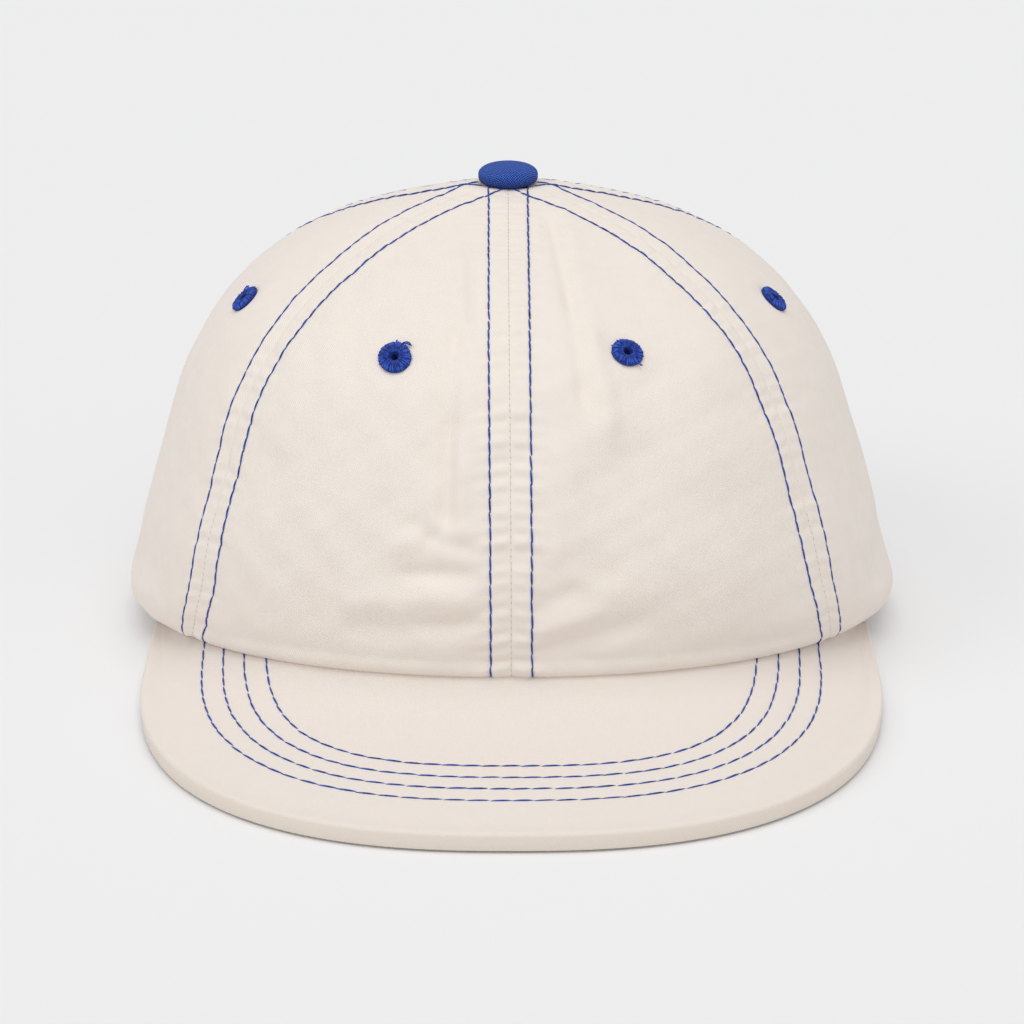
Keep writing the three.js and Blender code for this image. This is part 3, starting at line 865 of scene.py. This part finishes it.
# %% The thread
def make_thread(name, light, dark):
    """Twisted thread on a UV map that goes round and along each grain."""
    light, dark = screen_colour(*light), screen_colour(*dark)
    thread = new_material(name, roughness=0.62, sheen=0.08)
    grain_map = cloth_map(thread)
    twist = ribs(thread, turned(thread, grain_map, 45, (2, 3, 1)), 1.0, 0.3)
    fibres = noise(thread, turned(thread, grain_map, 0, (6, 40, 1)), 1.0, 3.0)
    uneven = noise(thread, place_map(thread), 1100.0, 1.0)
    # Painted shade in the grooves of the twist.
    colour = colour_mix(thread, twist, dark, light)
    colour = blend(thread, colour, light, fibres, 0.35, 0.75)
    colour = blend(thread, colour, dark, uneven, 0.5, 0.7)
    # Painted shade at one end of each stitch, where it dives into the cloth.
    colour = blend(thread, colour, dark, axis_of(thread, grain_map, "Y"), 0.3, 0.02)
    normal = bump(thread, twist, 0.09)
    normal = bump(thread, fibres, 0.03, normal)
    return finish_material(thread, colour, normal)


blue_thread = make_thread("blue_thread", (60, 98, 196), (20, 38, 108))
# The binding is a copy of the blue thread with colours of its own: painted shade of the densely
# laid threads on one another.
binding_thread = make_thread("binding_thread", (56, 96, 204), (22, 46, 132))
seam_thread = make_thread("seam_thread", (226, 208, 186), (208, 190, 166))
print("threads:", blue_thread.name, binding_thread.name, seam_thread.name)


# %% A grain that is copied
def make_grain(around, along):
    """A sphere with few faces, stretched later into a stitch, and the places of its points."""
    maker = bmesh.new()
    maker.loops.layers.uv.new("Cloth")
    segments = {"u_segments": around, "v_segments": along}
    bmesh.ops.create_uvsphere(maker, **segments, radius=1.0, calc_uvs=True)
    grain = bpy.data.meshes.new("grain")
    maker.to_mesh(grain)
    maker.free()
    places = np.array([vert.co for vert in grain.vertices])
    round_off = np.sqrt(np.maximum(1 - places[:, 2] ** 4, 0))
    spread = np.linalg.norm(places[:, :2], axis=1)
    places[:, :2] *= (round_off / np.maximum(spread, 1e-6))[:, None]
    return grain, places


grain_mesh, grain_places = make_grain(7, 8)


def stamp(name, grain, points, material):
    """Copies of one grain, joined in one piece; points has a row of places for each copy."""
    maker = bmesh.new()
    for _ in range(len(points)):
        maker.from_mesh(grain)
    for vert, point in zip(maker.verts, (points.reshape(-1, 3) * MM).tolist()):
        vert.co = point
    return put_in_scene(name, maker, material)


print("triangles in one stitch:", sum(len(face.vertices) - 2 for face in grain_mesh.polygons))


# %% Sewing along a path
def along_path(path, where):
    """Places, directions and normals on a path of points and normals."""
    points, normals = path
    lengths = path_lengths(points)

    def at(spots, values):
        return np.stack([np.interp(spots, lengths, column) for column in values.T], -1)

    line = at(where + 0.4, points) - at(where - 0.4, points)
    return at(where, points), unit(line), unit(at(where, normals))


def sew(path, pitch, dash, radius, tail, arch, dive):
    """Places of all stitches on a path; their ends are thinner (tail) and dive into the cloth."""
    length = path_lengths(path[0])[-1]
    count = round(length / pitch)
    centres = (np.arange(count) + 0.5) * length / count
    centres = centres + chance.normal(0, 0.03 * pitch, count)
    halves = dash / 2 * (1 + chance.normal(0, 0.02, count))
    sizes = radius * (1 + chance.normal(0, 0.05, count))
    slants = 0.11 + chance.normal(0, 0.04, count)
    shifts = chance.normal(0, 0.04, count)
    x, y, z = grain_places.T
    where = centres[:, None] + halves[:, None] * z
    centre, along, normal = along_path(path, where)
    sideways = np.cross(normal, along)
    thin = 1 - (1 - tail) * smooth_step(np.abs(z), 0.55, 0.9)
    side = sizes[:, None] * x * thin + slants[:, None] * z + shifts[:, None]
    up = 0.85 * sizes[:, None] * y * thin + radius * (0.3 - dive * np.abs(z) ** 3)
    up = up + arch * (1 - z**2)
    return centre + sideways * side[..., None] + normal * up[..., None]


# %% [markdown]
# ## Stitches beside the seams
#
# Each seam has a row of stitches on either side, five millimetres off, up to the button. In the
# groove between the two panels the fine pale thread that holds them together shows as a row of
# dots: all the way up at the front, and at the other seams only low down, where they gape a bit.

# %% Sew the crown
STITCH_TOP = 6.0  # radius round the button where the rows end
GAPING_POINTS = 190  # points of each path up to where its seam gapes
CROWN_STITCH = {"dash": 3.85, "radius": 0.25, "tail": 0.85, "arch": 0.08, "dive": 0.1}
SEAM_DOT = {"dash": 0.55, "radius": 0.1, "tail": 0.6, "arch": 0.0, "dive": 0.5}
DOT_PITCH = 1.6


def crown_line(seam, side):
    """A path beside one seam, from the hem to under the button."""
    run = np.linspace(0.015, 0.995, 420)
    around = girth(np.full(run.shape, SEAMS[seam]), run)
    run, around = run[around > STITCH_TOP], around[around > STITCH_TOP]
    bearing = SEAMS[seam] + np.arcsin(side / around)
    return crown_surface(bearing, run)


both_sides = (-STITCH_SIDE, STITCH_SIDE)
rows = [crown_line(seam, side) for seam in range(len(SEAMS)) for side in both_sides]
stitches = np.concatenate([sew(row, SEAM_PITCH, **CROWN_STITCH) for row in rows])
crown_stitches = stamp("crown_stitches", grain_mesh, stitches, blue_thread)

joins = [crown_line(seam, 0.0) for seam in range(len(SEAMS))]
joins[1:] = [[part[:GAPING_POINTS] for part in join] for join in joins[1:]]
dots = np.concatenate([sew(join, DOT_PITCH, **SEAM_DOT) for join in joins])
seam_dots = stamp("seam_dots", grain_mesh, dots, seam_thread)
print("crown stitches:", len(stitches), "seam dots:", len(dots))

# %% [markdown]
# ## Stitches on the visor
#
# Four rows follow the visor's edge. Each path is the outline moved inwards and dropped onto the
# cover with rays, so the stitches lie on the real mesh.

# %% Sew the visor
VISOR_STITCH = {"radius": 0.24, "tail": 0.6, "arch": 0.04, "dive": 0.3}


def visor_row(inset):
    """The visor's outline moved inwards, laid on the cover."""
    line = np.gradient(OUTLINE, axis=0)
    inward = unit(np.column_stack([line[:, 1], -line[:, 0]]))
    half = (OUTLINE + inward * inset)[2:]
    half = half[half[:, 0] > 0.4]
    plan = np.vstack([half[::-1] * (-1, 1), half])
    spots, normals = [], []
    for side, forward in plan:
        start = Vector(in_frame(side, forward, 60.0)) * MM
        spot, normal, _, _ = cover_tree.ray_cast(start, Vector((0, 0, -1)))
        if spot is not None:
            spots.append(np.array(spot) / MM)
            normals.append(np.array(normal))
    return np.array(spots), np.array(normals)


bpy.context.view_layer.update()
cover_tree = BVHTree.FromObject(visor_cover, bpy.context.evaluated_depsgraph_get())
rows = [visor_row(inset) for inset in VISOR_ROWS]
pitches = zip(rows, VISOR_PITCHES)
stitches = [sew(row, pitch, 1.06 * pitch, **VISOR_STITCH) for row, pitch in pitches]
stitches = np.concatenate(stitches)
visor_stitches = stamp("visor_stitches", grain_mesh, stitches, blue_thread)
print("visor stitches:", len(stitches))

# %% [markdown]
# ## Thread-bound air holes
#
# Each panel has an air hole bound with the same blue thread. The threads come up through the
# hole, lie over a low ring and go down at its rim, side by side like the petals of a flower. A
# spun ring fills what is under them; the threads are long grains laid from the hole to the rim.

# %% Measures of an air hole
AIR_HOLE_RADIUS, HOLE_RADIUS, RING_HEIGHT = 4.2, 0.9, 1.0
AIR_HOLE_STRETCH = {"front_left": 1.2}  # this one is a little drawn out, aslant


def hole_frame(side):
    """Centre, normal, right and up of the cloth at an air hole."""
    bearing, run = AIR_HOLES[side]
    normal = crown_normal(np.radians(bearing), np.array(run))
    right = unit(np.cross([0.0, 0.0, 1.0], normal))
    return HOLE_CENTRES[side], normal, right, np.cross(normal, right)


def ring_height(radius):
    """Height of the bound ring over the cloth, from the hole to the rim."""
    share = np.clip((radius - HOLE_RADIUS) / (AIR_HOLE_RADIUS - HOLE_RADIUS), 0, 1)
    return RING_HEIGHT * np.sin(np.pi * np.clip(share * 0.86 + 0.1, 0, 1)) ** 0.7 - 0.05


def drawn_out(spots, side):
    """Places in the plane of an air hole, moved away from its middle along a slanting line."""
    _, _, right, up = hole_frame(side)
    slant = unit(up - right)
    return spots + (AIR_HOLE_STRETCH.get(side, 1) - 1) * (spots @ slant)[..., None] * slant


print("height of a ring in its middle, mm:", round(float(ring_height(2.55)), 2))

# %% The threads round an air hole
PETALS = 48
petal_mesh, petal_places = make_grain(6, 10)


def petals(side):
    """Places of the threads round one air hole."""
    centre, normal, right, up = hole_frame(side)
    turn = np.arange(PETALS) / PETALS * 2 * np.pi + chance.normal(0, 0.035, PETALS)
    tip = AIR_HOLE_RADIUS + chance.normal(-0.1, 0.17, PETALS)
    raised = chance.normal(0, 0.05, PETALS)
    skew = chance.normal(0.05, 0.05, PETALS)
    x, y, z = petal_places.T
    outwards = (z + 1) / 2
    radius = HOLE_RADIUS + 0.1 + (tip[:, None] - HOLE_RADIUS - 0.1) * outwards
    width = np.pi * radius / PETALS * 1.06
    angle = turn[:, None] + skew[:, None] * outwards
    out = np.cos(angle)[..., None] * right + np.sin(angle)[..., None] * up
    over = -np.sin(angle)[..., None] * right + np.cos(angle)[..., None] * up
    height = ring_height(radius) + raised[:, None] + 0.24 * y
    spot = out * radius[..., None] - over * (width * x)[..., None]
    return centre + drawn_out(spot, side) + normal * height[..., None]


petal_points = np.concatenate([petals(side) for side in AIR_HOLES])
print("threads round the air holes:", len(petal_points))


# %% The rings under the threads
def spin_profile(maker, profile, centre, normal, right, steps):
    """Spins a closed or axis-to-axis profile of radius and height about a normal."""
    spots = [centre + right * radius + normal * height for radius, height in profile]
    verts = [maker.verts.new(Vector(spot * MM)) for spot in spots]
    edges = [maker.edges.new(pair) for pair in zip(verts, verts[1:])]
    if profile[0][0] > 0:
        edges.append(maker.edges.new((verts[-1], verts[0])))
    place = {"cent": Vector(centre * MM), "axis": Vector(normal), "dvec": Vector((0, 0, 0))}
    turn = {"angle": 2 * np.pi, "steps": steps, "use_merge": True}
    bmesh.ops.spin(maker, geom=verts + edges, **place, **turn)
    bmesh.ops.remove_doubles(maker, verts=maker.verts, dist=0.005 * MM)
    bmesh.ops.recalc_face_normals(maker, faces=maker.faces)


def make_air_hole(side):
    """The ring under the threads, with a flat collar inside the crown."""
    centre, normal, right, _ = hole_frame(side)
    back = -CLOTH - 0.75
    radii = np.linspace(HOLE_RADIUS + 0.05, 4.0, 9)
    top = [(radius, float(ring_height(radius)) - 0.05) for radius in radii]
    rim = [(3.95, -0.3), (1.5, -0.3), (1.5, back), (3.5, back)]
    rim += [(3.4, back - 0.5), (HOLE_RADIUS, back - 0.5)]
    maker = bmesh.new()
    maker.loops.layers.uv.new("Cloth")
    spin_profile(maker, [(HOLE_RADIUS, 0.0)] + top + rim, centre, normal, right, 40)
    for vert in maker.verts:
        vert.co = Vector((centre + drawn_out(np.array(vert.co) / MM - centre, side)) * MM)
    ring = put_in_scene("air_hole_" + side, maker, binding_thread)
    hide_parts("eyelet_" + side)
    return ring


air_holes = [make_air_hole(side) for side in AIR_HOLES]
binding = stamp("air_hole_threads", petal_mesh, petal_points, binding_thread)
print("faces in one ring:", len(air_holes[0].data.polygons))

# %% [markdown]
# ## Loose ends
#
# The binding isn't perfect. At the front left hole one thread stands up and another lies in a
# small flat loop beyond the rim; the front right one has a short end below, the left side one a
# little hook. Each is one long grain bent along a smooth line through a few points in the plane
# of the hole.

# %% Loose threads
LOOSE_THREADS = [  # air hole, and places to the right of and above its middle
    ("front_left", [(-0.9, 3.4), (-1.0, 4.1), (-1.1, 5.1)]),
    (
        "front_left",
        [(0.4, 3.9), (1.1, 4.7), (2.1, 4.8), (3.4, 3.6), (2.4, 4.2), (1.3, 4.3), (0.6, 3.8)],
    ),
    ("front_right", [(1.2, -3.4), (1.7, -4.4), (2.3, -4.7)]),
    ("side_left", [(-3.3, 1.4), (-4.7, 2.5), (-5.6, 2.0), (-5.0, 1.0), (-3.8, 0.6)]),
]


def loose_thread(side, corners):
    """Places of one grain bent along a smoothed line."""
    centre, normal, right, up = hole_frame(side)
    corners = np.array(corners)
    shares = np.linspace(0, 1, len(corners))
    fine = np.linspace(0, 1, 80)
    plan = np.column_stack([np.interp(fine, shares, corners[:, axis]) for axis in range(2)])
    plan[1:-1] = sum(np.roll(plan, shift, axis=0)[1:-1] for shift in (-1, 0, 1)) / 3
    line = centre + plan[:, :1] * right + plan[:, 1:] * up + 0.45 * normal
    x, y, z = petal_places.T
    where = (z + 1) / 2 * path_lengths(line)[-1]
    spot, along, out = along_path((line, np.tile(normal, (len(line), 1))), where)
    return spot + 0.2 * (x[:, None] * np.cross(out, along) + y[:, None] * out)


loose = np.array([loose_thread(side, corners) for side, corners in LOOSE_THREADS])
loose_ends = stamp("loose_threads", petal_mesh, loose, binding_thread)
print("loose ends:", len(loose))

# %% [markdown]
# ## The covered button
#
# A metal dome covered with a disc of royal blue cloth hides the point where the six panels meet.
# Its outline is spun round the vertical axis. The cloth's coordinates are the length of cloth
# from the top outwards, as if the disc had been drawn down over the dome, so the weave widens
# over the edge as it does on a real button.

# %% The button's cloth
BUTTON_RADIUS, BUTTON_HEIGHT = 7.7, 4.8
BUTTON_WIDEST = 2.3  # height at which it is widest


def make_button_cloth():
    """Plain weave, its gaps and the cloth going down over the edge darkened as painted shade."""
    blue = new_material("button_cloth", roughness=0.85, sheen=0.05)
    cloth = cloth_map(blue)
    warp, weft = (ribs(blue, turned(blue, cloth, angle), 0.52, 0.8) for angle in (38, 128))
    weave = product(blue, warp, weft)
    fluff = noise(blue, cloth, 2.2, 4.0)
    reach = add_node(blue, "ShaderNodeVectorMath", links={0: cloth}, operation="LENGTH")
    light = screen_colour(90, 144, 255)
    # Painted shade in the gaps of the weave.
    colour = blend(blue, screen_colour(4, 26, 118), light, weave, 0.0, 0.45)
    colour = blend(blue, colour, light, fluff, 0.5, 0.9)
    # Painted shade on the dome's lower wall, where the cloth goes down over the edge.
    colour = blend(blue, colour, screen_colour(4, 26, 112), reach.outputs["Value"], 7.0, 12.5)
    normal = bump(blue, weave, 0.3)
    normal = bump(blue, fluff, 0.06, normal)
    return finish_material(blue, colour, normal)


button_cloth = make_button_cloth()
print("button's material:", button_cloth.name)


# %% The button
def make_button():
    """The dome, its underside, and the stem with its plate inside the crown, in one outline."""
    centre = in_frame(-CROWN_SIDE_LEAN, -CROWN_LEAN, CROWN_HEIGHT)
    turn = np.linspace(0, 1, 16) ** 0.7 * np.pi / 2
    heights = BUTTON_WIDEST + (BUTTON_HEIGHT - BUTTON_WIDEST) * np.sin(turn)
    dome = list(zip(BUTTON_RADIUS * np.cos(turn) ** 0.62, heights))
    under = [(1.2, 0.3), (5.5, 0.1), (6.7, 0.25), (7.2, 0.5), (7.5, 0.85), (7.66, 1.45)]
    plate = -CLOTH - 1.1
    back = [(0, plate - 0.9), (6, plate - 0.72), (6, plate), (1.2, plate + 0.6)]
    profile = [(float(r), float(h)) for r, h in back + under + dome]
    profile[-1] = (0.0, BUTTON_HEIGHT)
    maker = bmesh.new()
    layer = maker.loops.layers.uv.new("Cloth")
    spin_profile(maker, profile, centre, np.array([0.0, 0, 1]), np.array([1.0, 0, 0]), 64)
    radii, heights = np.array(profile).T
    lengths = path_lengths(np.array(profile))
    for face in maker.faces:
        for loop in face.loops:
            spot = np.array(loop.vert.co) / MM - centre
            nearest = np.hypot(radii - np.hypot(spot[0], spot[1]), heights - spot[2]).argmin()
            reach = lengths[-1] - lengths[nearest]
            loop[layer].uv = unit(spot[:2]) * reach
    button = put_in_scene("button_cover", maker, button_cloth)
    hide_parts("top_button")
    return button


button = make_button()
print("button faces:", len(button.data.polygons))

# %% [markdown]
# ## The sweatband
#
# Inside the hem runs a band of plain cotton that touches the wearer's head. It follows the hem
# and leans in a little at its upper edge. Its grid closes both ways, round the head and round
# the band's own thickness.

# %% The sweatband
BAND_HEIGHT, BAND_THICKNESS, BAND_INSET, BAND_LEAN = 30.0, 1.2, 2.0, 1.4
BAND_COLUMNS, BAND_RADIUS = 260, 92
band_cotton = make_cotton("band_cotton", (236, 227, 215), (230, 220, 207), 45)


def band_section():
    """Depth and height of the points round the band's cross-section, counter-clockwise."""
    heights = np.linspace(0.02, 0.98, 14)
    outer = [(0.0, height) for height in heights]
    inner = [(1.0, height) for height in heights[::-1]]
    return np.array(outer + [(0.3, 1.0), (0.7, 1.0)] + inner + [(0.7, 0.0), (0.3, 0.0)] + outer[:1])


BAND = band_section()


def band_place(column, row):
    bearing = column / BAND_COLUMNS * 2 * np.pi
    side, forward, height = hem_point(bearing)
    depth, lift = BAND[row].T
    inset = BAND_INSET + depth * BAND_THICKNESS + BAND_LEAN * lift**2
    plan = np.column_stack([side, forward])
    plan = plan - unit(plan) * inset[:, None]
    points = in_frame(plan[:, 0], plan[:, 1], height + CLEARANCE + BAND_HEIGHT * lift)
    return points, np.column_stack([bearing * BAND_RADIUS, lift * BAND_HEIGHT])


band_rows = len(BAND) - 1
sweatband = cloth_piece("head_band", BAND_COLUMNS, band_rows, band_place, band_cotton, close=True)
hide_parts("sweatband")
print("sweatband faces:", len(sweatband.data.polygons))

# %% [markdown]
# ## Studio
#
# The cap stands on a seamless pale table in very soft light. An even sky gives much of it, and
# four broad suns the rest: one from above, one from the front, and one from each side, the left
# one stronger. The table also glows slightly, as an overexposed studio table does, so that the
# shadows stay faint.

# %% Table
maker = bmesh.new()
bmesh.ops.create_grid(maker, x_segments=2, y_segments=2, size=3.0)
pale = new_material("pale_table", roughness=1.0)
glow = {"Emission Color": (1, 1, 1, 1), "Emission Strength": 0.06}
matt = {"Base Color": (0.82, 0.823, 0.838, 1), "Specular IOR Level": 0.0}
set_inputs(pale.node_tree.nodes["Principled BSDF"], glow | matt)
table = make_mesh("table", maker, pale)
print("table, m:", [round(side, 2) for side in table.dimensions])

# %% Light
world = bpy.data.worlds.new("soft sky")
bpy.context.scene.world = world
world.use_nodes = True
sky = {"Color": (1, 1, 1, 1), "Strength": 0.5}
set_inputs(world.node_tree.nodes["Background"], sky)

# Name, direction in which it shines, strength, width in degrees, colour
SUNS = [
    ("front light", (0, 0.9, -1), 0.32, 50, (1, 0.96, 0.86)),
    ("top light", (0, 0.1, -1), 0.87, 50, (1, 1, 1)),
    ("left light", (0.9, 0.5, -0.9), 0.37, 30, (1, 1, 1)),
    ("right light", (-0.9, 0.5, -0.9), 0.16, 50, (1, 1, 1)),
]
for name, direction, strength, width, colour in SUNS:
    light = bpy.data.lights.new(name, "SUN")
    light.energy, light.color, light.angle = strength, colour, np.radians(width)
    sun = add_object(name, light)
    sun.rotation_mode = "QUATERNION"
    sun.rotation_quaternion = Vector(direction).to_track_quat("-Z", "Y")
print("suns:", [name for name, *_ in SUNS])

# %% [markdown]
# ## Camera
#
# The picture was taken from a little over a metre away, 20 degrees above the table and straight
# ahead, with a long lens. The camera looks at a point just inside the crown, low down.

# %% Camera
CAMERA_DISTANCE, CAMERA_ELEVATION, TARGET_HEIGHT = 1170.0, 19.8, 27.2
SENSOR, FOCAL_PIXELS, PICTURE_PIXELS = 36, 4463, 1024
camera_data = bpy.data.cameras.new("camera")
camera_data.sensor_width = SENSOR
camera_data.lens = SENSOR * FOCAL_PIXELS / PICTURE_PIXELS
camera_data.shift_x = 0.0006
camera = add_object("camera", camera_data)
lift = np.radians(CAMERA_ELEVATION)
target = Vector((HEM_CENTRE_X, HEM_CENTRE_Y, TARGET_HEIGHT)) * MM
back = Vector((0, -np.cos(lift), np.sin(lift)))
camera.location = target + back * CAMERA_DISTANCE * MM
camera.rotation_euler = (-back).to_track_quat("-Z", "Y").to_euler()
bpy.context.scene.camera = camera
bpy.context.scene.view_settings.view_transform = "Standard"
print("camera, m:", [round(value, 3) for value in camera.location])
